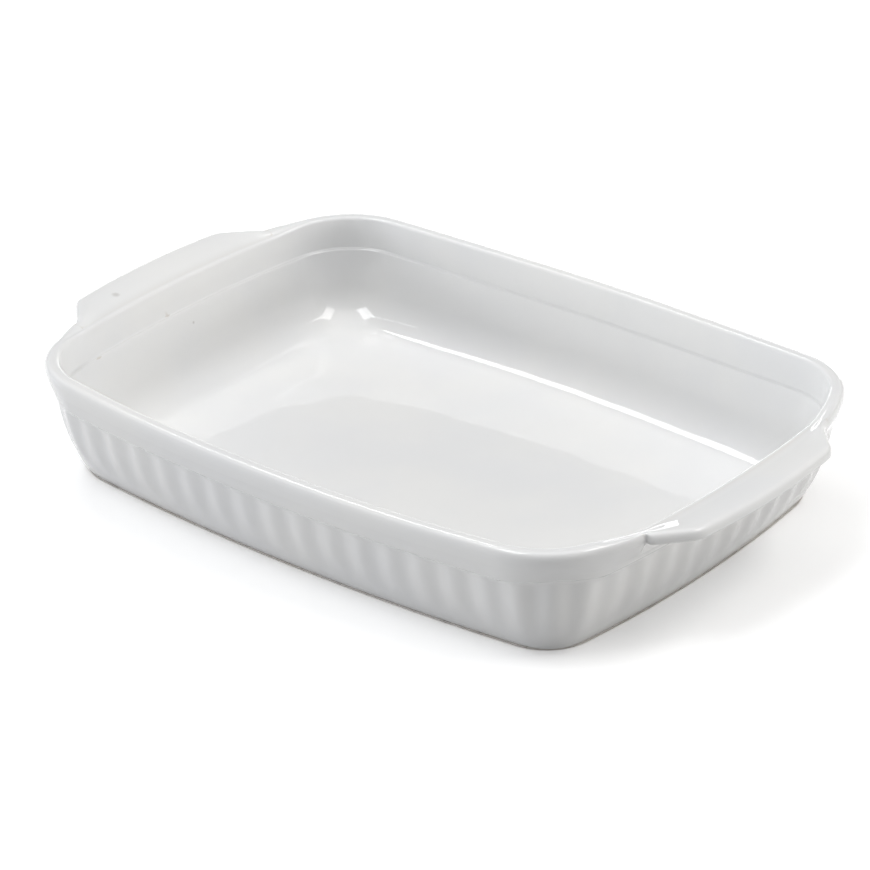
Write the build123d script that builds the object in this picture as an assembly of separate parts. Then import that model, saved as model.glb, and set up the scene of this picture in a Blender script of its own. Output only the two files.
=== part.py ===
from build123d import *
import math
import os

# A glazed ceramic baking dish with bowed sides, a fluted wall and two flat lug handles.
# Millimetres, +Z up. The origin is the middle of the dish on the surface it stands on.
# X runs along the dish from handle to handle, Y across it.
# An inset is a distance inward from the outermost line of the rim, square to that line.

# Rim outline, seen from above
rim_length = 351.0
rim_width = 261.0
rim_height = 59.5
long_side_bow = 13.0
short_side_bow = 13.0
corner_radius = 45.0

# Rim section
rim_thickness = 7.0
rim_outer_round = 3.0
rim_inner_round = 1.9
rim_face_height = 7.0

# Plain band under the rim, which leans in and ends in a small step over the flutes
band_lower_edge_height = 42.0
band_lean = 2.6
band_overhang = 1.0

# Fluted wall, which leans in and then curves under
upper_wall_drop = 6.5
upper_wall_lean = 1.2
wall_curve_radius = 96.0
flute_count = 62
flute_depth = 1.15
flute_ridge_width = 2.0
flute_end_height = 7.0

# Inside, where the ledge rise is measured up from the band's lower edge
inner_band_lean = 1.4
inner_ledge_rise = 1.0
inner_ledge_width = 1.5
inner_ledge_drop = 0.5
inner_wall_lean = 9.0
floor_thickness = 5.5
cove_radius = 24.0

# Foot ring
foot_height = 1.5
foot_width = 6.0
foot_edge_round = 0.5

# Lug handles
handle_reach = 21.5
handle_end_length = 103.0
handle_root_length = 144.0
handle_end_bow = 3.3
handle_corner_radius = 9.0
handle_root_radius = 20.0
handle_thickness = 6.2
handle_under_round = 2.2
handle_seat_depth = 4.0

# How far the inner cutting shape runs up past the band's lower edge
overrun = 5.0

half_length = rim_length / 2
half_width = rim_width / 2
floor_height = foot_height + floor_thickness
inner_ledge_height = band_lower_edge_height + inner_ledge_rise


def bowed_side_radius(half_side, bow):
    """Radius of the long arc that bows outward by this much at the middle of a side."""
    return (half_side**2 + bow**2) / (2 * bow)


def outline_arcs():
    """The eight tangent arcs of the rim outline, anticlockwise from the +X side.

    Each is (centre x, centre y, radius, first angle, last angle), angles in radians.
    Every inset outline uses the same centres and angles with a smaller radius."""
    long_radius = bowed_side_radius(half_length, long_side_bow)
    short_radius = bowed_side_radius(half_width, short_side_bow)
    long_centre = half_width - long_radius
    short_centre = half_length - short_radius
    # The corner arc's centre is where both side arcs, pulled in by its radius, cross.
    to_long = long_radius - corner_radius
    to_short = short_radius - corner_radius
    between = math.hypot(short_centre, long_centre)
    along = (to_short**2 - to_long**2 + between**2) / (2 * between)
    off = math.sqrt(to_short**2 - along**2)
    ux = -short_centre / between
    uy = long_centre / between
    corner_x = short_centre + ux * along - uy * off
    corner_y = uy * along + ux * off
    if corner_y < 0:
        corner_x = short_centre + ux * along + uy * off
        corner_y = uy * along - ux * off
    low = math.atan2(corner_y, corner_x - short_centre)
    high = math.atan2(corner_y - long_centre, corner_x)
    half = math.pi
    turn = 2 * math.pi
    return [
        (short_centre, 0, short_radius, -low, low),
        (corner_x, corner_y, corner_radius, low, high),
        (0, long_centre, long_radius, high, half - high),
        (-corner_x, corner_y, corner_radius, half - high, half - low),
        (-short_centre, 0, short_radius, half - low, half + low),
        (-corner_x, -corner_y, corner_radius, half + low, half + high),
        (0, -long_centre, long_radius, half + high, turn - high),
        (corner_x, -corner_y, corner_radius, turn - high, turn - low),
    ]


ARCS = outline_arcs()


def arc_point(arc, angle, inset):
    """Plan point on one arc of the outline at this inset."""
    x, y, radius, first, last = arc
    return (x + (radius - inset) * math.cos(angle), y + (radius - inset) * math.sin(angle))


def outline_wire(inset, height):
    """The closed outline at this inset, as eight arcs at one height."""
    edges = []
    for arc in ARCS:
        x, y, radius, first, last = arc
        ends = [arc_point(arc, angle, inset) for angle in (first, (first + last) / 2, last)]
        edges.append(ThreePointArc(*[(px, py, height) for px, py in ends]))
    return Wire(edges)


def plate(inset, low, high):
    """A flat plate with the outline at this inset, between two heights."""
    return extrude(Face(outline_wire(inset, low)), amount=high - low, dir=(0, 0, 1))


def ring(section):
    """Carries a section once round the outline.

    In the section, X is the distance out from the rim's outermost line and Y is the height."""
    pieces = []
    for arc in ARCS:
        x, y, radius, first, last = arc
        radial = Vector(math.cos(first), math.sin(first), 0)
        start = arc_point(arc, first, 0)
        frame = Plane(origin=(*start, 0), x_dir=radial, z_dir=radial.cross(Vector(0, 0, 1)))
        turn = Axis((x, y, 0), (0, 0, 1))
        pieces.append(revolve(frame * section, axis=turn, revolution_arc=math.degrees(last - first)))
    whole = pieces[0].fuse(*pieces[1:])
    return whole.clean()


def crest_inset(height):
    """Inset of the wall's ridges at a height below the band.

    The wall leans in by a straight stretch, then follows an arc tangent to it."""
    top = band_lean + band_overhang
    lean = math.atan2(upper_wall_lean, upper_wall_drop)
    drop = band_lower_edge_height - height
    if drop <= upper_wall_drop:
        return top + drop * math.tan(lean)
    sine = math.sin(lean) + (drop - upper_wall_drop) / wall_curve_radius
    return top + upper_wall_lean + wall_curve_radius * (math.cos(lean) - math.sqrt(1 - sine**2))


def depth_of_flute(height):
    """Depth of the flutes at a height: full on the straight stretch, then fading to nothing."""
    full = band_lower_edge_height - upper_wall_drop
    if height >= full:
        return flute_depth
    share = max(0, (height - flute_end_height) / (full - flute_end_height))
    return flute_depth * share * (2 - share)


def outline_place(distance):
    """The (arc, angle) this far along the band's lower edge, from the middle of the +X side."""
    lengths = [(arc[2] - band_lean) * (arc[4] - arc[3]) for arc in ARCS]
    left = (distance + lengths[0] / 2) % sum(lengths)
    for arc, length in zip(ARCS, lengths):
        if left <= length:
            return arc, arc[3] + (arc[4] - arc[3]) * left / length
        left -= length
    return ARCS[-1], ARCS[-1][4]


def outline_length():
    """Length of the band's lower edge, once round."""
    return sum((arc[2] - band_lean) * (arc[4] - arc[3]) for arc in ARCS)


def fluted_wire(height):
    """The wall's outline at one height, a hollow arc for each flute and a short ridge between."""
    pitch = outline_length() / flute_count
    half_flute = (pitch - flute_ridge_width) / 2
    crest = crest_inset(height)
    hollow = crest + depth_of_flute(height)
    edges = []
    for number in range(flute_count):
        middle = number * pitch
        start = arc_point(*outline_place(middle - half_flute), crest)
        deepest = arc_point(*outline_place(middle), hollow)
        end = arc_point(*outline_place(middle + half_flute), crest)
        following = arc_point(*outline_place(middle + pitch - half_flute), crest)
        edges.append(ThreePointArc((*start, height), (*deepest, height), (*end, height)))
        edges.append(Line((*end, height), (*following, height)))
    return Wire(edges)


def fluted_block():
    """The outside of the dish below the band, as a solid block."""
    straight_end = band_lower_edge_height - upper_wall_drop
    curved_shares = (0.0, 0.13, 0.3, 0.5, 0.72)
    heights = [foot_height + share * (straight_end - foot_height) for share in curved_shares]
    heights = heights + [straight_end, band_lower_edge_height]
    return Solid.make_loft([fluted_wire(height) for height in heights])


def inner_upper_inset():
    """Inset of the inside wall just above its ledge."""
    return rim_thickness + inner_band_lean


def inner_lower_inset():
    """Inset of the inside wall just under its ledge."""
    return inner_upper_inset() + inner_ledge_width


def cove_start():
    """Inset and height where the inside wall's straight stretch meets the cove."""
    top = inner_ledge_height - inner_ledge_drop
    lean = math.atan2(inner_wall_lean, top - floor_height)
    height = floor_height + cove_radius * (1 - math.sin(lean))
    return inner_lower_inset() + (top - height) * math.tan(lean), height, lean


def cavity_block():
    """The space inside the dish below the inner ledge, as a solid block up past the band's level."""
    inset, height, lean = cove_start()
    floor_inset = inset + cove_radius * math.cos(lean)
    middle = (lean + math.pi / 2) / 2
    middle_inset = floor_inset - cove_radius * math.cos(middle)
    middle_height = floor_height + cove_radius * (1 - math.sin(middle))
    top = band_lower_edge_height + overrun
    top_inset = inset - (top - height) * math.tan(lean)
    section = make_face(
        [
            Line((-floor_inset, top), (-top_inset, top)),
            Line((-top_inset, top), (-inset, height)),
            ThreePointArc(
                (-inset, height), (-middle_inset, middle_height), (-floor_inset, floor_height)
            ),
            Line((-floor_inset, floor_height), (-floor_inset, top)),
        ]
    )
    return ring(section).fuse(plate(floor_inset, floor_height, top)).clean()


def band_ring():
    """The upper wall: rounded rim, plain band and the inside above the lower wall."""
    foot = band_lower_edge_height
    inset, height, lean = cove_start()
    inner_foot_inset = inset - (foot - height) * math.tan(lean)
    under_ledge = inner_ledge_height - inner_ledge_drop
    corners = [
        (-band_lean, foot),
        (0, rim_height - rim_face_height),
        (0, rim_height),
        (-rim_thickness, rim_height),
        (-inner_upper_inset(), inner_ledge_height),
        (-inner_lower_inset(), under_ledge),
        (-inner_foot_inset, foot),
    ]
    section = make_face(Polyline(*corners, close=True))
    outer_corner = section.vertices().sort_by_distance((0, rim_height, 0))[0]
    section = fillet(outer_corner, rim_outer_round)
    inner_corner = section.vertices().sort_by_distance((-rim_thickness, rim_height, 0))[0]
    section = fillet(inner_corner, rim_inner_round)
    return ring(section)


def handle_root():
    """Where the hollow root arc of the +X, +Y flank meets the rim and the flank.

    Returns its centre, the angle of its end on the rim, and its end on the flank."""
    x, y, radius, first, last = ARCS[0]
    end = (half_length + handle_reach - handle_end_bow, handle_end_length / 2)
    root_half = handle_root_length / 2
    root = (x + math.sqrt(radius**2 - root_half**2), root_half)
    run = math.dist(end, root)
    along = ((root[0] - end[0]) / run, (root[1] - end[1]) / run)
    outward = (along[1], -along[0])
    start_x = end[0] + outward[0] * handle_root_radius - x
    start_y = end[1] + outward[1] * handle_root_radius
    forward = start_x * along[0] + start_y * along[1]
    short = start_x**2 + start_y**2 - (radius + handle_root_radius) ** 2
    step = -forward - math.sqrt(forward**2 - short)
    centre = (x + start_x + along[0] * step, start_y + along[1] * step)
    angle = math.atan2(centre[1], centre[0] - x)
    on_flank = (centre[0] - outward[0] * handle_root_radius, centre[1] - outward[1] * handle_root_radius)
    return centre, angle, on_flank


def handle_plan():
    """Plan of the +X handle, from its seat inside the rim's edge out to its bowed end."""
    centre, angle, flank = handle_root()
    tip = half_length + handle_reach
    end = (tip - handle_end_bow, handle_end_length / 2)
    seat = arc_point(ARCS[0], angle, handle_seat_depth)
    seat_middle = arc_point(ARCS[0], 0, handle_seat_depth)
    rim = arc_point(ARCS[0], angle, 0)
    # The hollow arc's middle lies between its two ends, one radius from its centre.
    toward = Vector(rim[0] + flank[0] - 2 * centre[0], rim[1] + flank[1] - 2 * centre[1], 0).normalized()
    hollow = (centre[0] + toward.X * handle_root_radius, centre[1] + toward.Y * handle_root_radius)
    edges = []
    for side in (-1, 1):
        points = [(px, side * py) for px, py in (seat, rim, hollow, flank, end)]
        edges.append(Line(points[0], points[1]))
        edges.append(ThreePointArc(points[1], points[2], points[3]))
        edges.append(Line(points[3], points[4]))
    edges.append(ThreePointArc((end[0], -end[1]), (tip, 0), end))
    edges.append(ThreePointArc((seat[0], -seat[1]), seat_middle, seat))
    return make_face(edges)


def handle_blank():
    """The +X handle before its upper and lower edges are rounded."""
    low = rim_height - handle_thickness
    blank = extrude(Pos(0, 0, low) * handle_plan(), amount=handle_thickness, dir=(0, 0, 1))
    tip = half_length + handle_reach
    upright = blank.edges().filter_by(Axis.Z)
    corners = [
        upright.sort_by_distance((tip, side * handle_end_length / 2, rim_height))[0] for side in (-1, 1)
    ]
    return fillet(corners, handle_corner_radius)


def outer_edges(blank, height):
    """The handle's edges at one height that lie outside the rim's outermost line."""
    x, y, radius, first, last = ARCS[0]
    level = blank.edges().filter_by_position(Axis.Z, height, height)
    return [edge for edge in level if math.hypot((edge @ 0.5).X - x, (edge @ 0.5).Y) > radius]


def handle():
    """The +X handle: a flat lug, flush with the rim, rounded along its outer edges."""
    lug = handle_blank()
    lug = fillet(outer_edges(lug, rim_height), rim_outer_round)
    return fillet(outer_edges(lug, rim_height - handle_thickness), handle_under_round)


def foot():
    """The bare ring that the dish stands on."""
    upper = crest_inset(foot_height)
    lower = crest_inset(0)
    inner = lower + foot_width
    corners = [(-upper, foot_height), (-lower, 0), (-inner, 0), (-inner, foot_height)]
    section = make_face(Polyline(*corners, close=True))
    standing = [vertex for vertex in section.vertices() if vertex.Y == 0]
    return ring(fillet(standing, foot_edge_round))


def body():
    """The dish itself: floor, fluted wall, band and rim, with a seat in the rim for each handle."""
    wall = fluted_block().cut(cavity_block())
    whole = wall.fuse(band_ring())
    seat = handle_blank()
    return whole.cut(seat, mirror(seat, about=Plane.YZ))


def save(name, shape):
    """Writes one piece to its own file."""
    shape.label = name
    export_step(shape, os.path.join("parts", name + ".step"))


os.makedirs("parts", exist_ok=True)
right_handle = handle()
save("dish_body", body())
save("right_handle", right_handle)
save("left_handle", mirror(right_handle, about=Plane.YZ))
save("foot_ring", foot())
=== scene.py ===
import math

import bpy
import numpy as np
from mathutils import Matrix, Vector


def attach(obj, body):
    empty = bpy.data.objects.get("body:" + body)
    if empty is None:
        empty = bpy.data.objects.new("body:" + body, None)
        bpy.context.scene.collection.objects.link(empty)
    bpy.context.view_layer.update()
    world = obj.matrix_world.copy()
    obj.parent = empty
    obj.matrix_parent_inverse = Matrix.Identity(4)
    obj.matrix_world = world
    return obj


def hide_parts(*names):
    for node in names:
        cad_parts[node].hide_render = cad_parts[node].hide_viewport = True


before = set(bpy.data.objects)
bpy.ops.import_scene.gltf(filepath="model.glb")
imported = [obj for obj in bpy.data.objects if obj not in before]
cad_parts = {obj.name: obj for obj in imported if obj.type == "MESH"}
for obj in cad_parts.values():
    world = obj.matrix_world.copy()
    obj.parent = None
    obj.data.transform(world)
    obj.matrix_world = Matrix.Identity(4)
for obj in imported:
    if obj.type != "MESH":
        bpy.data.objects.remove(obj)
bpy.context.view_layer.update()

# The dish: one piece of white fired clay, a bowed rectangle with a plain band over a wall of soft
# upright flutes, and a rounded rim. A milk-white gloss glaze covers it and softens every edge.
# All sizes are millimetres; an inset is measured inward from the rim's outer line.
MM = 0.001
rim_height = 59.4
rim_thickness = 7.0
rim_outer_round = 3.0
rim_inner_round = 1.9
seat_inset = 4.0
band_top = 55.4
band_middle = 50.0
band_middle_inset = 0.85
band_bottom = 42.0
band_bottom_inset = 3.4
band_join = 49.0
band_join_inset = 1.2
wall_top_inset = 4.2
step_drop = 0.9
wall_curve_top = 35.5
wall_curve_radius = 96.0
wall_lean = math.atan2(1.2, 6.5)
flute_count = 62
flute_depth = 1.15
flute_top = band_bottom - 0.6
flute_fade = 2.0
flute_end = 7.0
foot_top = 1.5
underside_inset = 22.0
underside_rise = 0.5
floor_height = 7.0
cove_radius = 24.0
inner_lean = math.atan2(9.0, 35.5)
inner_ledge = 42.6
inner_ledge_inset = 9.8
ledge_top_inset = 8.4
ledge_rise = 0.5
inner_band_inset = 7.8
columns_per_flute = 16
columns = flute_count * columns_per_flute

# Eight tangent arcs make the outline: centre x, centre y, radius, first angle, last angle.
half_length = 175.2
half_width = 130.2
side_bow = 13.0
long_radius = (half_length**2 + side_bow**2) / (2 * side_bow)
short_radius = (half_width**2 + side_bow**2) / (2 * side_bow)
corner_radius = 45.0
long_centre = half_width - long_radius
short_centre = half_length - short_radius


def corner_centre():
    """Where the two side arcs, each drawn in by the corner's radius, cross."""
    to_long = long_radius - corner_radius
    to_short = short_radius - corner_radius
    between = math.hypot(short_centre, long_centre)
    along = (to_short**2 - to_long**2 + between**2) / (2 * between)
    off = math.sqrt(to_short**2 - along**2)
    ux, uy = -short_centre / between, long_centre / between
    x, y = short_centre + ux * along - uy * off, uy * along + ux * off
    if y < 0:
        x, y = short_centre + ux * along + uy * off, uy * along - ux * off
    return x, y


corner_x, corner_y = corner_centre()
low = math.atan2(corner_y, corner_x - short_centre)
high = math.atan2(corner_y - long_centre, corner_x)
ARCS = [
    (short_centre, 0, short_radius, -low, low),
    (corner_x, corner_y, corner_radius, low, high),
    (0, long_centre, long_radius, high, math.pi - high),
    (-corner_x, corner_y, corner_radius, math.pi - high, math.pi - low),
    (-short_centre, 0, short_radius, math.pi - low, math.pi + low),
    (-corner_x, -corner_y, corner_radius, math.pi + low, math.pi + high),
    (0, -long_centre, long_radius, math.pi + high, math.tau - high),
    (corner_x, -corner_y, corner_radius, math.tau - high, math.tau - low),
]


def column_places():
    """Centre, radius and angle of every column, evenly spaced along the band's lower edge."""
    lengths = [(arc[2] - band_bottom_inset) * (arc[4] - arc[3]) for arc in ARCS]
    around = sum(lengths)
    places = []
    for column in range(columns):
        left = (around * column / columns + lengths[0] / 2) % around
        number = 0
        while left > lengths[number]:
            left -= lengths[number]
            number += 1
        x, y, radius, first, last = ARCS[number]
        places.append((x, y, radius, first + (last - first) * left / lengths[number]))
    return np.array(places)


PLACES = column_places()
OUT = np.stack([np.cos(PLACES[:, 3]), np.sin(PLACES[:, 3])], axis=1)


def outline(inset):
    """Plan points of all columns at an inset, one value or one for each column."""
    reach = (PLACES[:, 2] - inset)[:, None]
    return PLACES[:, :2] + reach * OUT


def rounded(corners):
    """A section through these corners (inset, height, radius, steps), each one rounded."""
    points = [np.array(corners[0][:2], float)]
    for before, corner, after in zip(corners, corners[1:], corners[2:]):
        here = np.array(corner[:2], float)
        back = np.array(before[:2], float) - here
        on = np.array(after[:2], float) - here
        back /= np.linalg.norm(back)
        on /= np.linalg.norm(on)
        radius, steps = corner[2], corner[3]
        if radius == 0:
            points.append(here)
            continue
        half = math.acos(np.clip(back @ on, -1, 1)) / 2
        middle = back + on
        centre = here + middle / np.linalg.norm(middle) * radius / math.sin(half)
        start = here + back * radius / math.tan(half) - centre
        end = here + on * radius / math.tan(half) - centre
        turn = math.acos(np.clip(start @ end / radius**2, -1, 1))
        for step in range(steps + 1):
            share = step / steps
            swung = start * math.sin((1 - share) * turn) + end * math.sin(share * turn)
            points.append(centre + swung / math.sin(turn))
    points.append(np.array(corners[-1][:2], float))
    return points


def wall_inset(height):
    """Inset of the wall's ridges: a straight stretch, then an arc that curves under."""
    drop = band_bottom - height
    if height >= wall_curve_top:
        return wall_top_inset + drop * math.tan(wall_lean)
    sine = math.sin(wall_lean) + (wall_curve_top - height) / wall_curve_radius
    straight = (band_bottom - wall_curve_top) * math.tan(wall_lean)
    return wall_top_inset + straight + wall_curve_radius * (math.cos(wall_lean) - math.sqrt(1 - sine**2))


def flute_share(height):
    """How deep the flutes are at a height, from 0 to 1: none above the step, none at the foot."""
    if height > flute_top:
        return 0
    if height > flute_top - flute_fade:
        return (flute_top - height) / flute_fade
    share = min(1, max(0, (height - flute_end) / (wall_curve_top - flute_end)))
    return share * (2 - share)


def flute_depths():
    """Depth of the flute at each column: a soft wave, hollow in the middle and full at the ridge."""
    turn = math.tau * np.arange(columns) / columns_per_flute
    return flute_depth * (1 + np.cos(turn)) / 2


FLUTES = flute_depths()

# Inside, from the floor's edge up the rounded cove and the leaning wall, over the small ledge.
cove_height = floor_height + cove_radius * (1 - math.sin(inner_lean))
cove_inset = inner_ledge_inset + (inner_ledge - cove_height) * math.tan(inner_lean)
floor_inset = cove_inset + cove_radius * math.cos(inner_lean)
cove_steps = 24
cove_join = 0.4
wall_row_drop = 14
inside = []
for step in range(cove_steps + 1):
    angle = math.pi / 2 - (math.pi / 2 - inner_lean) * step / cove_steps
    inside.append(
        (floor_inset - cove_radius * math.cos(angle), floor_height + cove_radius * (1 - math.sin(angle)))
    )
inside += rounded([
    (cove_inset - cove_join * math.tan(inner_lean), cove_height + cove_join, 0, 0),
    (inner_ledge_inset + wall_row_drop * math.tan(inner_lean), inner_ledge - wall_row_drop, 0, 0),
    (inner_ledge_inset, inner_ledge, 1.5, 5),
    (ledge_top_inset, inner_ledge + ledge_rise, 1.3, 5),
    (inner_band_inset, band_middle, 0, 0),
    (rim_thickness, rim_height, rim_inner_round, 8),
    (seat_inset, rim_height, 0, 0),
])

# The rim's rounded outer edge and the upper band, which run into each other with a soft taper.
rim_steps = 9
outer_arc = [math.pi / 2 * (1 - step / rim_steps) for step in range(rim_steps + 1)]
top_shares = (0.3, 0.65)
lip = [(seat_inset - share * (seat_inset - rim_outer_round), rim_height) for share in top_shares]
lip += [
    (
        rim_outer_round * (1 - math.cos(angle)),
        rim_height - rim_outer_round * (1 - math.sin(angle)),
    )
    for angle in outer_arc
]
lip += rounded([
    (0, 56.0, 0, 0), (0, band_top, 5.0, 5), (0.15, 53.9, 6.0, 5), (band_middle_inset, band_middle, 0, 0),
    (band_join_inset, band_join, 0, 0),
])

# Outside below that: the lower band, the soft step under it and the fluted wall down to the foot.
wall_top_row, wall_last_row, wall_rows = 38.0, 3.0, 30
wall_first, wall_end, base_edge = 39.5, 2.6, 1.7
below = rounded([
    (band_join_inset, band_join, 0, 0), (2.3, 45.7, 12.0, 4), (band_bottom_inset, band_bottom, 1.2, 6),
    (wall_top_inset, band_bottom - step_drop, 1.4, 4), (wall_inset(wall_first), wall_first, 0, 0),
])[1:]
below += [(wall_inset(height), height) for height in np.linspace(wall_top_row, wall_last_row, wall_rows)]
below += rounded([
    (wall_inset(wall_end), wall_end, 0, 0), (wall_inset(base_edge), foot_top, 0.5, 4),
    (underside_inset, foot_top, 0, 0),
])
rows = [(inset, height, 0) for inset, height in inside + lip]
rows += [(inset, height, flute_share(height)) for inset, height in below]


def eased(share):
    """A share from 0 to 1 that leaves 0 and reaches 1 softly."""
    return share**2 * (3 - 2 * share)


# The long sides sag a little, as such ware does in the drying and the firing, and the corners hold
# up. Each pair of lists is heights, and how far the wall has moved at them.
outer_sag = ((10, 42, 56), (0, 1.0, 2.0))
inner_sag = ((10, 42, 59), (0, 2.8, 2.0))
corner_rise = ((18, 42, 46, 57), (0, 2.4, 2.4, 0))
sag_reach = 0.85 * half_length
corner_from = 0.13
level = outline(0)
middle_share = eased(np.clip(1 - (level[:, 0] / sag_reach) ** 2, 0, 1))
corner_turn = np.abs((PLACES[:, 3] + math.pi / 4) % (math.pi / 2) - math.pi / 4)
corner_share = eased(np.clip((corner_turn - corner_from) / (math.pi / 4 - corner_from), 0, 1))


def sunk(height, outside):
    """How far a point at this height is off its level height, one value for each column."""
    if outside:
        middle = np.interp(height, *outer_sag)
        corner = np.interp(height, *corner_rise)
        return corner * corner_share - middle * middle_share
    return -np.interp(height, *inner_sag) * middle_share


# Beside and between the handles the rim flares outward, and its inner edge dips towards the inside.
outer_flare, inner_flare, inner_dip = 4.3, 3.0, 2.8
flare_from, flare_run = 97.0, 33.0
flare_low, flare_high = 43, 54
short_ends_from = 100
crown_width, crown_depth = 5.0, 0.6
on_short_ends = np.abs(level[:, 0]) > short_ends_from
end_share = eased(np.clip((flare_from - np.abs(level[:, 1])) / flare_run, 0, 1) * on_short_ends)


def flared(inset, height, outside):
    """Outward flare and dip of a point of the section between the handles, in millimetres."""
    inner = 1.0
    if outside:
        inner = min(1, max(0, inset / crown_width)) * (height > rim_height - crown_depth)
    high = np.interp(height, (flare_low, flare_high), (0, 1))
    return high * (outer_flare + (inner_flare - outer_flare) * inner), high * inner_dip * inner


# The corners also stand a little wider at the base, fading out up the wall.
corner_out = 1.3
corner_out_top = 36
grid = np.zeros((len(rows), columns, 3))
for number, (inset, height, share) in enumerate(rows):
    outside = number >= len(inside)
    flare, dip = flared(inset, height, outside)
    spread = corner_out * corner_share * np.interp(height, (0, corner_out_top), (1, 0)) * outside
    grid[number, :, :2] = outline(inset + share * FLUTES - flare * end_share - spread)
    grid[number, :, 2] = height + sunk(height, outside) - dip * end_share

# The two lug handles: flat tabs of the same clay on the short ends, joined to the rim before the
# firing and glazed in one with it. Their tops run flush into it, and their roots sweep in with a
# hollow. They are shaped on the same rows and columns as the dish, so the glaze has no seam.
handle_tip = half_length + 21.2
handle_half_end = 52.0
handle_end_bow = 3.5
handle_root_half = 71.5
handle_root_radius = 9.0
handle_corner_radius = 13.0
handle_underside = 53.3
handle_under_round = 2.2
handle_dish = 0.35
handle_dish_run = 12.0
handle_blend_run = 3.0
root_steps, corner_steps, end_steps = 16, 12, 40
corner_room = 9
near_from = 0.75 * handle_half_end
under_shares = (0.4, 0.8)


def handle_root():
    """Centre of the hollow root arc, its angle on the rim, and its end on the flank."""
    end = np.array((handle_tip - handle_end_bow, handle_half_end))
    root = np.array((short_centre + math.sqrt(rim_arc**2 - handle_root_half**2), handle_root_half))
    along = (root - end) / np.linalg.norm(root - end)
    outward = np.array((along[1], -along[0]))
    start = end + outward * handle_root_radius - (short_centre, 0)
    forward = start @ along
    short = start @ start - (rim_arc + handle_root_radius) ** 2
    centre = start + along * (-forward - math.sqrt(forward**2 - short)) + (short_centre, 0)
    return centre, math.atan2(centre[1], centre[0] - short_centre), centre - outward * handle_root_radius


def flare_at(y):
    """How far the flared rim's outer line stands out at this distance from the middle."""
    return outer_flare * eased(min(1, max(0, (flare_from - y) / flare_run)))


# The root's angle and the flared rim's radius depend on each other, so a few turns settle both.
settling_turns = 6
rim_arc = short_radius + flare_at(handle_root_half)
for turn in range(settling_turns):
    root_centre, root_angle, flank = handle_root()
    rim_arc = short_radius + flare_at(short_radius * math.sin(root_angle))
rim_root = np.array((short_centre + rim_arc * math.cos(root_angle), rim_arc * math.sin(root_angle)))
end_radius = (handle_half_end**2 + handle_end_bow**2) / (2 * handle_end_bow)
end_corner = (handle_tip - handle_end_bow, handle_half_end)
arc_start = math.atan2(rim_root[1] - root_centre[1], rim_root[0] - root_centre[0])
arc_end = math.atan2(flank[1] - root_centre[1], flank[0] - root_centre[0])
if arc_end - arc_start > math.pi:
    arc_end -= math.tau
if arc_end - arc_start < -math.pi:
    arc_end += math.tau
edge = [
    root_centre + handle_root_radius * np.array((math.cos(angle), math.sin(angle)))
    for angle in np.linspace(arc_start, arc_end, root_steps)
]
end_slope = math.asin(handle_half_end / end_radius)
beyond = (
    end_corner[0] + corner_room * math.sin(end_slope), end_corner[1] - corner_room * math.cos(end_slope)
)
end_round = rounded([(*edge[-1], 0, 0), (*end_corner, handle_corner_radius, corner_steps), (*beyond, 0, 0)])
edge += end_round[1:-1]
for y in np.linspace(handle_half_end - corner_room, 0, end_steps):
    edge.append(np.array((handle_tip - end_radius + math.sqrt(end_radius**2 - y**2), y)))
edge = edge + [point * (1, -1) for point in edge[-2::-1]]
edge = np.array(edge)[::-1]
edge_run = np.concatenate([[0], np.cumsum(np.linalg.norm(np.diff(edge, axis=0), axis=1))])


def handle_edge():
    """The outer line with both handles, its outward normals, and how far each column stands out."""
    plan = outline(-outer_flare * end_share)
    for side in (0, math.pi):
        turn = (PLACES[:, 3] - side + math.pi) % math.tau - math.pi
        inside_root = np.abs(turn) < root_angle
        run = (turn[inside_root] / root_angle + 1) / 2 * edge_run[-1]
        x = np.interp(run, edge_run, edge[:, 0])
        y = np.interp(run, edge_run, edge[:, 1])
        sign = 1 if side == 0 else -1
        y = sign * y
        # Neither lug sits quite true: the right one lies a little towards the near side, and the
        # left one's near root is a little short. Both are shares of the drawn half width.
        near, far = (1.06, 0.94) if side == 0 else (0.975, 1.0)
        near = np.interp(-y, (near_from, handle_root_half), (1.0, near))
        moved = y * np.where(y < 0, near, far)
        base = short_centre + np.sqrt(rim_arc**2 - y**2)
        x = x + np.sqrt(rim_arc**2 - moved**2) + short_centre - base
        plan[inside_root] = np.stack([sign * x, moved], axis=1)
    ahead = np.roll(plan, -1, axis=0) - np.roll(plan, 1, axis=0)
    ahead /= np.linalg.norm(ahead, axis=1)[:, None]
    normal = np.stack([ahead[:, 1], -ahead[:, 0]], axis=1)
    stand = np.linalg.norm(plan - PLACES[:, :2], axis=1) - PLACES[:, 2] - outer_flare * end_share
    return plan, normal, np.maximum(stand, 0)


EDGE, EDGE_OUT, STAND = handle_edge()
part_handle = eased(np.clip(STAND / handle_blend_run, 0, 1))
first_lip = len(inside)


def off_edge(offset):
    """Plan points this far inside the outer line, square to it."""
    return EDGE - offset * EDGE_OUT


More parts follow.
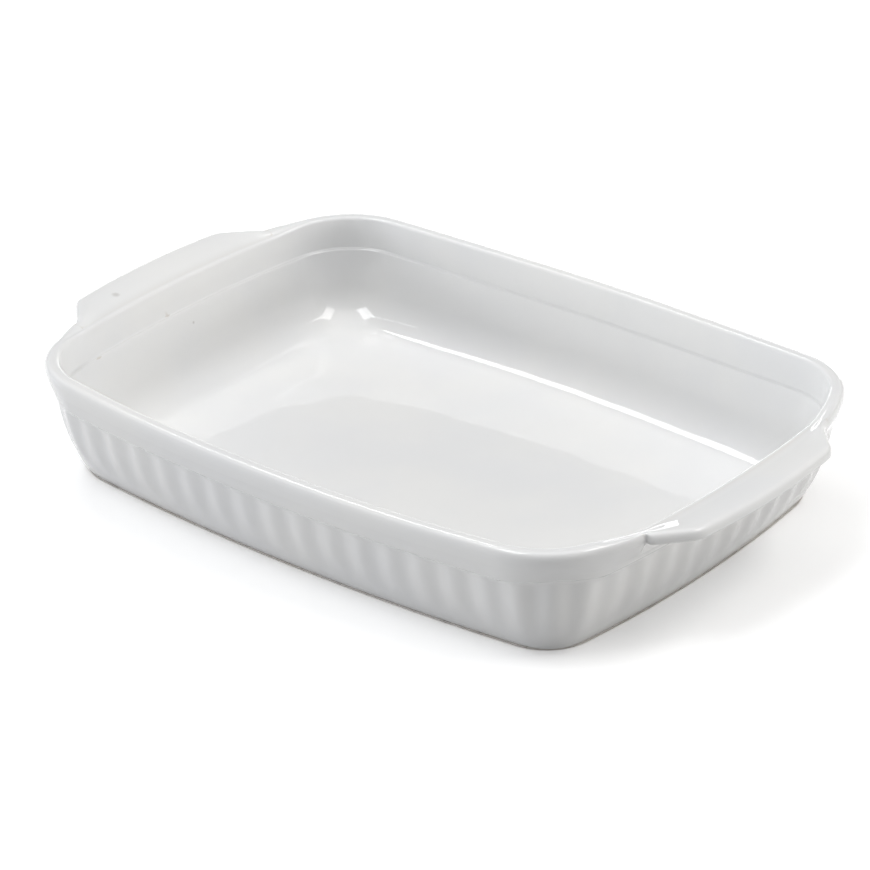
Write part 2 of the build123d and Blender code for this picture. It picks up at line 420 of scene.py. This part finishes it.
# The handles' own rows, as many as the rim's and the upper band's rows that they take the place of.
handle_rows = []
seat = grid[first_lip - 1]
for share in top_shares:
    plan = seat[:, :2] + (off_edge(rim_outer_round) - seat[:, :2]) * share
    dish = handle_dish * np.clip(STAND / handle_dish_run, 0, 1) * 4 * share * (1 - share)
    rise = (rim_height - seat[:, 2]) * (1 - (1 - share) ** 2)
    handle_rows.append((plan, seat[:, 2] + rise - dish))
for angle in outer_arc:
    plan = off_edge(rim_outer_round * (1 - math.cos(angle)))
    handle_rows.append((plan, rim_height - rim_outer_round * (1 - math.sin(angle))))
under_start = handle_underside + handle_under_round
under_steps = 7
edge_row_rise = 0.4
handle_rows.append((off_edge(0), under_start + edge_row_rise))
for angle in np.linspace(0, math.pi / 2, under_steps):
    plan = off_edge(handle_under_round * (1 - math.cos(angle)))
    handle_rows.append((plan, under_start - handle_under_round * math.sin(angle)))
fillet = rounded([
    (-4.0, handle_underside, 0, 0), (0.4, handle_underside, 1.8, 4), (band_join_inset, band_join, 0, 0),
])
under_inner = outline(fillet[1][0])
under_outer = off_edge(handle_under_round)
for share in under_shares:
    handle_rows.append((under_outer + (under_inner - under_outer) * share, handle_underside))
# One point of the fillet's round is left out, so that these rows match the rim's in number.
left_out = 4
for inset, height in fillet[1:left_out] + fillet[left_out + 1:]:
    handle_rows.append((outline(inset), height))
weight = part_handle[:, None]
for number, (plan, height) in enumerate(handle_rows):
    row = grid[first_lip + number]
    row[:, :2] = row[:, :2] * (1 - weight) + plan * weight
    row[:, 2] = row[:, 2] * (1 - part_handle) + height * part_handle
last_lip = first_lip + len(lip) - 1


def ring_cap(verts, faces, ring, height, flip):
    """Fills a ring of columns flat, with two rings that get coarser towards the middle."""
    points = np.array([verts[index] for index in ring])
    keep_every, ring_shares = 4, (0.94, 0.6)
    for share in ring_shares:
        inner = [index for index in range(len(points)) if index % keep_every == 0]
        base = len(verts)
        for index in inner:
            x, y = points[index][:2] * share
            verts.append((x, y, height))
        step = len(ring) // len(inner)
        for number in range(len(inner)):
            following = (number + 1) % len(inner)
            outer = [ring[(number * step + extra) % len(ring)] for extra in range(step + 1)]
            face = outer + [base + following, base + number]
            faces.append(face[::-1] if flip else face)
        ring = list(range(base, base + len(inner)))
        points = points[inner]
    faces.append(ring[::-1] if flip else ring)


verts = [tuple(point) for row in grid for point in row]
faces = []
owner = []
lug_from = 0.02
zone = np.where(STAND > lug_from, np.where(EDGE[:, 0] > 0, 1, 2), 0)
for number in range(len(rows) - 1):
    for column in range(columns):
        following = (column + 1) % columns
        a, b = number * columns + column, number * columns + following
        c, d = b + columns, a + columns
        faces.append([a, d, c, b])
        in_lip = first_lip - 1 <= number < last_lip
        owner.append(zone[column] if in_lip and zone[column] and zone[following] else 0)
ring_cap(verts, faces, list(range(columns)), floor_height, False)
last_row = (len(rows) - 1) * columns
ring_cap(verts, faces, list(range(last_row, last_row + columns)), foot_top + underside_rise, True)
owner += [0] * (len(faces) - len(owner))
whole = bpy.data.meshes.new("whole")
whole.from_pydata([tuple(MM * value for value in vert) for vert in verts], [], faces)
whole.update()
NORMALS = np.zeros(len(whole.vertices) * 3)
whole.vertex_normals.foreach_get("vector", NORMALS)
NORMALS = NORMALS.reshape(-1, 3)


def piece(name, number):
    """One piece of the glazed whole, closed where it joins its neighbour, smooth over the join."""
    own = [face for face, who in zip(faces, owner) if who == number]
    smooth = len(own)
    for side in (1, 2):
        if number not in (0, side):
            continue
        run = [c for c in range(columns) if zone[c] == side]
        if side == 1:
            run.sort(key=lambda c: (c + columns // 2) % columns)
        top, bottom = (first_lip - 1) * columns, last_lip * columns
        closing = [[top + a, top + b, bottom + b, bottom + a] for a, b in zip(run, run[1:])]
        for end, flip in ((run[0], True), (run[-1], False)):
            section = [row * columns + end for row in range(first_lip - 1, last_lip + 1)]
            closing.append(section[::-1] if flip else section)
        if number == 0:
            closing = [face[::-1] for face in closing]
        own += closing
    used = sorted({index for face in own for index in face})
    place = {index: count for count, index in enumerate(used)}
    mesh = bpy.data.meshes.new(name)
    mesh.from_pydata(
        [tuple(MM * value for value in verts[index]) for index in used],
        [], [[place[index] for index in face] for face in own],
    )
    mesh.update()
    for polygon in mesh.polygons:
        polygon.use_smooth = polygon.index < smooth
    loops = []
    for polygon in mesh.polygons:
        for index in polygon.vertices:
            flat = polygon.index >= smooth
            loops.append(tuple(polygon.normal if flat else NORMALS[used[index]]))
    mesh.normals_split_custom_set(loops)
    thing = bpy.data.objects.new(name, mesh)
    bpy.context.scene.collection.objects.link(thing)
    return thing


# A colour mix node's sockets by number: its two colours and its result.
FIRST, SECOND, RESULT = 6, 7, 2


def white_glaze():
    """Milk-white gloss glaze over the fired clay.

    It is a little cloudy, breaks thin and warm over the sharp edges, has a few pinholes and fine
    specks, and its surface keeps the slow ripple of the glaze that ran before it set."""
    material = bpy.data.materials.new("white_glaze")
    material.use_nodes = True
    nodes, links = material.node_tree.nodes, material.node_tree.links
    shader = nodes["Principled BSDF"]
    shader.inputs["IOR"].default_value = 1.5
    place = nodes.new("ShaderNodeTexCoord").outputs["Object"]

    def noise(scale, detail, roughness=0.5):
        texture = nodes.new("ShaderNodeTexNoise")
        texture.inputs["Scale"].default_value = scale
        texture.inputs["Detail"].default_value = detail
        texture.inputs["Roughness"].default_value = roughness
        links.new(place, texture.inputs["Vector"])
        return texture.outputs["Fac"]

    def spread(value, low, high, to_low=0.0, to_high=1.0):
        span = nodes.new("ShaderNodeMapRange")
        span.interpolation_type = "SMOOTHSTEP"
        ends = (("From Min", low), ("From Max", high), ("To Min", to_low), ("To Max", to_high))
        for socket, number in ends:
            span.inputs[socket].default_value = number
        links.new(value, span.inputs["Value"])
        return span.outputs["Result"]

    def mixed(factor, first, second):
        blend = nodes.new("ShaderNodeMix")
        blend.data_type = "RGBA"
        links.new(factor, blend.inputs["Factor"])
        for socket, colour in ((blend.inputs[FIRST], first), (blend.inputs[SECOND], second)):
            if isinstance(colour, tuple):
                socket.default_value = (*colour, 1)
            else:
                links.new(colour, socket)
        return blend.outputs[RESULT]

    # Clouds where the coat is a little thicker or thinner.
    cool_white, warm_white = (0.87, 0.875, 0.878), (0.9, 0.9, 0.89)
    cloud = spread(noise(14.0, 3.0), 0.35, 0.68)
    colour = mixed(cloud, cool_white, warm_white)

    # The warm line along the sharp edges, where the clay shows through the thin glaze.
    clay_tint = (0.62, 0.56, 0.48)
    edges = nodes.new("ShaderNodeNewGeometry").outputs["Pointiness"]
    colour = mixed(spread(edges, 0.53, 0.62, 0.0, 0.45), colour, clay_tint)

    # Fine iron specks, sparse and unevenly strewn.
    speck_colour = (0.42, 0.4, 0.37)
    cells = nodes.new("ShaderNodeTexVoronoi")
    cells.inputs["Scale"].default_value = 60.0
    links.new(place, cells.inputs["Vector"])
    kept = nodes.new("ShaderNodeMath")
    kept.operation = "MULTIPLY"
    links.new(spread(cells.outputs["Distance"], 0.015, 0.03, 1.0, 0.0), kept.inputs[0])
    hue = nodes.new("ShaderNodeSeparateColor")
    links.new(cells.outputs["Color"], hue.inputs["Color"])
    links.new(spread(hue.outputs["Red"], 0.8, 0.95, 0.0, 0.55), kept.inputs[1])
    colour = mixed(kept.outputs["Value"], colour, speck_colour)

    # The three pinholes of this dish, each a soft grey dot: its place and radius.
    pinhole_colour = (0.52, 0.5, 0.47)
    pinholes = (((-182.0, -33.8, 59.2), 3.0), ((-83.2, -120.9, 22.0), 1.1), ((-163.2, 1.8, 35.0), 1.1))
    for spot, radius in pinholes:
        gap = nodes.new("ShaderNodeVectorMath")
        gap.operation = "DISTANCE"
        gap.inputs[1].default_value = [MM * value for value in spot]
        links.new(place, gap.inputs[0])
        dot = spread(gap.outputs["Value"], 0.3 * radius * MM, radius * MM, 0.5, 0.0)
        colour = mixed(dot, colour, pinhole_colour)
    links.new(colour, shader.inputs["Base Color"])

    # Gloss that is a shade duller in patches.
    links.new(spread(noise(35.0, 2.0), 0.3, 0.75, 0.015, 0.045), shader.inputs["Roughness"])

    # The slow ripple, with a much finer orange peel on top of it.
    ripple = nodes.new("ShaderNodeBump")
    ripple.inputs["Distance"].default_value = 0.0008
    links.new(noise(16.0, 1.0), ripple.inputs["Height"])
    peel = nodes.new("ShaderNodeBump")
    peel.inputs["Distance"].default_value = 0.00001
    links.new(noise(420.0, 1.0), peel.inputs["Height"])
    links.new(ripple.outputs["Normal"], peel.inputs["Normal"])
    links.new(peel.outputs["Normal"], shader.inputs["Normal"])
    return material


glaze = white_glaze()
for name, number, node in (
    ("glazed_dish", 0, "dish_body"), ("right_lug", 1, "right_handle"), ("left_lug", 2, "left_handle"),
):
    part = piece(name, number)
    part.data.materials.append(glaze)
    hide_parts(node)
    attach(part, "root")
bpy.data.meshes.remove(whole)

# The foot: a bare ring of unglazed clay that the dish stands on, wiped clean before the firing.
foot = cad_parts["foot_ring"]


def bare_clay():
    """Dry, chalky fired clay with a fine grain, darker grog and grey scuffs."""
    material = bpy.data.materials.new("bare_clay")
    material.use_nodes = True
    nodes, links = material.node_tree.nodes, material.node_tree.links
    shader = nodes["Principled BSDF"]
    shader.inputs["Roughness"].default_value = 0.85
    place = nodes.new("ShaderNodeTexCoord").outputs["Object"]
    colour = None
    # Each stain: noise scale, where it starts and is full, the clay under the first, and its tint.
    stains = (
        (30.0, 0.4, 0.65, (0.86, 0.83, 0.79, 1), (0.79, 0.75, 0.7, 1)),
        (700.0, 0.62, 0.7, None, (0.42, 0.38, 0.33, 1)),
        (90.0, 0.55, 0.75, None, (0.56, 0.53, 0.5, 1)),
    )
    for scale, start, end, base, tint in stains:
        texture = nodes.new("ShaderNodeTexNoise")
        texture.inputs["Scale"].default_value = scale
        texture.inputs["Detail"].default_value = 3.0
        links.new(place, texture.inputs["Vector"])
        span = nodes.new("ShaderNodeMapRange")
        span.inputs["From Min"].default_value = start
        span.inputs["From Max"].default_value = end
        links.new(texture.outputs["Fac"], span.inputs["Value"])
        blend = nodes.new("ShaderNodeMix")
        blend.data_type = "RGBA"
        links.new(span.outputs["Result"], blend.inputs["Factor"])
        if base:
            blend.inputs[FIRST].default_value = base
        else:
            links.new(colour, blend.inputs[FIRST])
        blend.inputs[SECOND].default_value = tint
        colour = blend.outputs[RESULT]
    links.new(colour, shader.inputs["Base Color"])
    grain = nodes.new("ShaderNodeTexNoise")
    grain.inputs["Scale"].default_value = 1500.0
    grain.inputs["Detail"].default_value = 2.0
    links.new(place, grain.inputs["Vector"])
    bump = nodes.new("ShaderNodeBump")
    bump.inputs["Distance"].default_value = 0.00008
    links.new(grain.outputs["Fac"], bump.inputs["Height"])
    links.new(bump.outputs["Normal"], shader.inputs["Normal"])
    return material


foot.data.materials.clear()
foot.data.materials.append(bare_clay())

# The studio: a white paper floor under seven soft lamps. Two hang high at the right and the left, one
# behind and a wide one overhead. A dim strip stands low at the back, and a low pair lights the outer
# walls without showing in the glaze. To the camera the open floor is plain white.
floor_mesh = bpy.data.meshes.new("studio_floor")
reach = 6.0
floor_mesh.from_pydata(
    [(-reach, -reach, 0), (reach, -reach, 0), (reach, reach, 0), (-reach, reach, 0)], [], [(0, 1, 2, 3)]
)
floor = bpy.data.objects.new("studio_floor", floor_mesh)
bpy.context.scene.collection.objects.link(floor)
paper = bpy.data.materials.new("white_paper")
paper.use_nodes = True
nodes, links = paper.node_tree.nodes, paper.node_tree.links
sheet = nodes["Principled BSDF"]
sheet.inputs["Roughness"].default_value = 1.0
sheet.inputs["Specular IOR Level"].default_value = 0.0
path = nodes.new("ShaderNodeLightPath")
direct = nodes.new("ShaderNodeMath")
direct.operation = "MAXIMUM"
links.new(path.outputs["Is Camera Ray"], direct.inputs[0])
links.new(path.outputs["Is Glossy Ray"], direct.inputs[1])
seen = direct.outputs["Value"]
paper_colour = nodes.new("ShaderNodeMix")
paper_colour.data_type = "RGBA"
paper_colour.inputs[FIRST].default_value = (0.5, 0.5, 0.5, 1)
paper_colour.inputs[SECOND].default_value = (0.95, 0.95, 0.95, 1)
links.new(seen, paper_colour.inputs["Factor"])
links.new(paper_colour.outputs[RESULT], sheet.inputs["Base Color"])
glow = 0.3
lift = nodes.new("ShaderNodeMath")
lift.operation = "MULTIPLY"
lift.inputs[1].default_value = glow
links.new(seen, lift.inputs[0])
sheet.inputs["Emission Color"].default_value = (1, 1, 1, 1)
links.new(lift.outputs["Value"], sheet.inputs["Emission Strength"])
floor_mesh.materials.append(paper)

# Azimuth from +X and height in degrees, distance and size in metres, how bright, and the colour.
lamps = (
    ("right", 38, 59, 4.0, 2.1, 1.1, 6.2, (1.0, 0.985, 0.97)),
    ("left", 232, 67, 4.0, 2.2, 1.1, 7.0, (0.975, 0.985, 1.0)),
    ("behind", 154, 51, 4.4, 1.3, 0.55, 8.0, (1.0, 1.0, 1.0)),
    ("backdrop", 126, 8, 4.4, 3.4, 0.6, 3.0, (1.0, 1.0, 1.0)),
    ("above", 130, 86, 4.0, 3.0, 3.0, 1.3, (1.0, 1.0, 1.0)),
    ("right_low", 30, 7, 4.4, 2.8, 0.9, 8.2, (1.0, 0.985, 0.96)),
    ("left_low", 234, 7, 4.4, 2.8, 0.9, 9.2, (0.96, 0.975, 1.0)),
)
for name, around, height, distance, width, tall, bright, colour in lamps:
    light = bpy.data.lights.new(name, "AREA")
    light.shape = "RECTANGLE"
    light.size, light.size_y = width, tall
    light.energy = math.pi * width * tall * bright
    light.color = colour
    lamp = bpy.data.objects.new(name, light)
    bpy.context.scene.collection.objects.link(lamp)
    around, height = math.radians(around), math.radians(height)
    toward = Vector((
        math.cos(around) * math.cos(height), math.sin(around) * math.cos(height), math.sin(height)
    ))
    lamp.location = toward * distance
    lamp.rotation_euler = (-toward).to_track_quat("-Z", "Y").to_euler()
    lamp.visible_glossy = not name.endswith("low")

world = bpy.data.worlds.new("studio")
bpy.context.scene.world = world
world.use_nodes = True
nodes, links = world.node_tree.nodes, world.node_tree.links
sky = nodes["Background"]
sky.inputs["Color"].default_value = (1, 1, 1, 1)
strength = nodes.new("ShaderNodeMapRange")
strength.inputs["To Min"].default_value = 0.1
strength.inputs["To Max"].default_value = 1.0
links.new(nodes.new("ShaderNodeLightPath").outputs["Is Camera Ray"], strength.inputs["Value"])
links.new(strength.outputs["Result"], sky.inputs["Strength"])

# The camera: a long lens from the front right, well above the rim. Angles are in radians, the lens
# and the shift in pixels of the picture, and the point looked at and its distance in millimetres.
camera_data = bpy.data.cameras.new("camera")
camera = bpy.data.objects.new("camera", camera_data)
bpy.context.scene.collection.objects.link(camera)
bpy.context.scene.camera = camera
picture = 870
focal_pixels, shift_pixels = 3994.38, -3.0
sensor = 36.0
camera_data.sensor_fit = "HORIZONTAL"
camera_data.sensor_width = sensor
camera_data.lens = focal_pixels / picture * sensor
camera_data.shift_y = shift_pixels / picture
camera_data.clip_end = 100.0
azimuth, elevation, roll, distance = 0.6942930, 0.4748619, -0.0132426, 1983.357
looked_at = (-34.0563, 35.8645, 0.0)
back = np.array((
    math.sin(azimuth) * math.cos(elevation), -math.cos(azimuth) * math.cos(elevation), math.sin(elevation)
))
right = np.array((math.cos(azimuth), math.sin(azimuth), 0))
up = np.cross(back, right)
x_axis = math.cos(roll) * right + math.sin(roll) * up
y_axis = -math.sin(roll) * right + math.cos(roll) * up
place = (np.array(looked_at) + distance * back) * MM
matrix = Matrix.Identity(4)
for row in range(3):
    matrix[row][0], matrix[row][1], matrix[row][2] = x_axis[row], y_axis[row], back[row]
    matrix[row][3] = place[row]
camera.matrix_world = matrix

bpy.context.scene.view_settings.view_transform = "Standard"
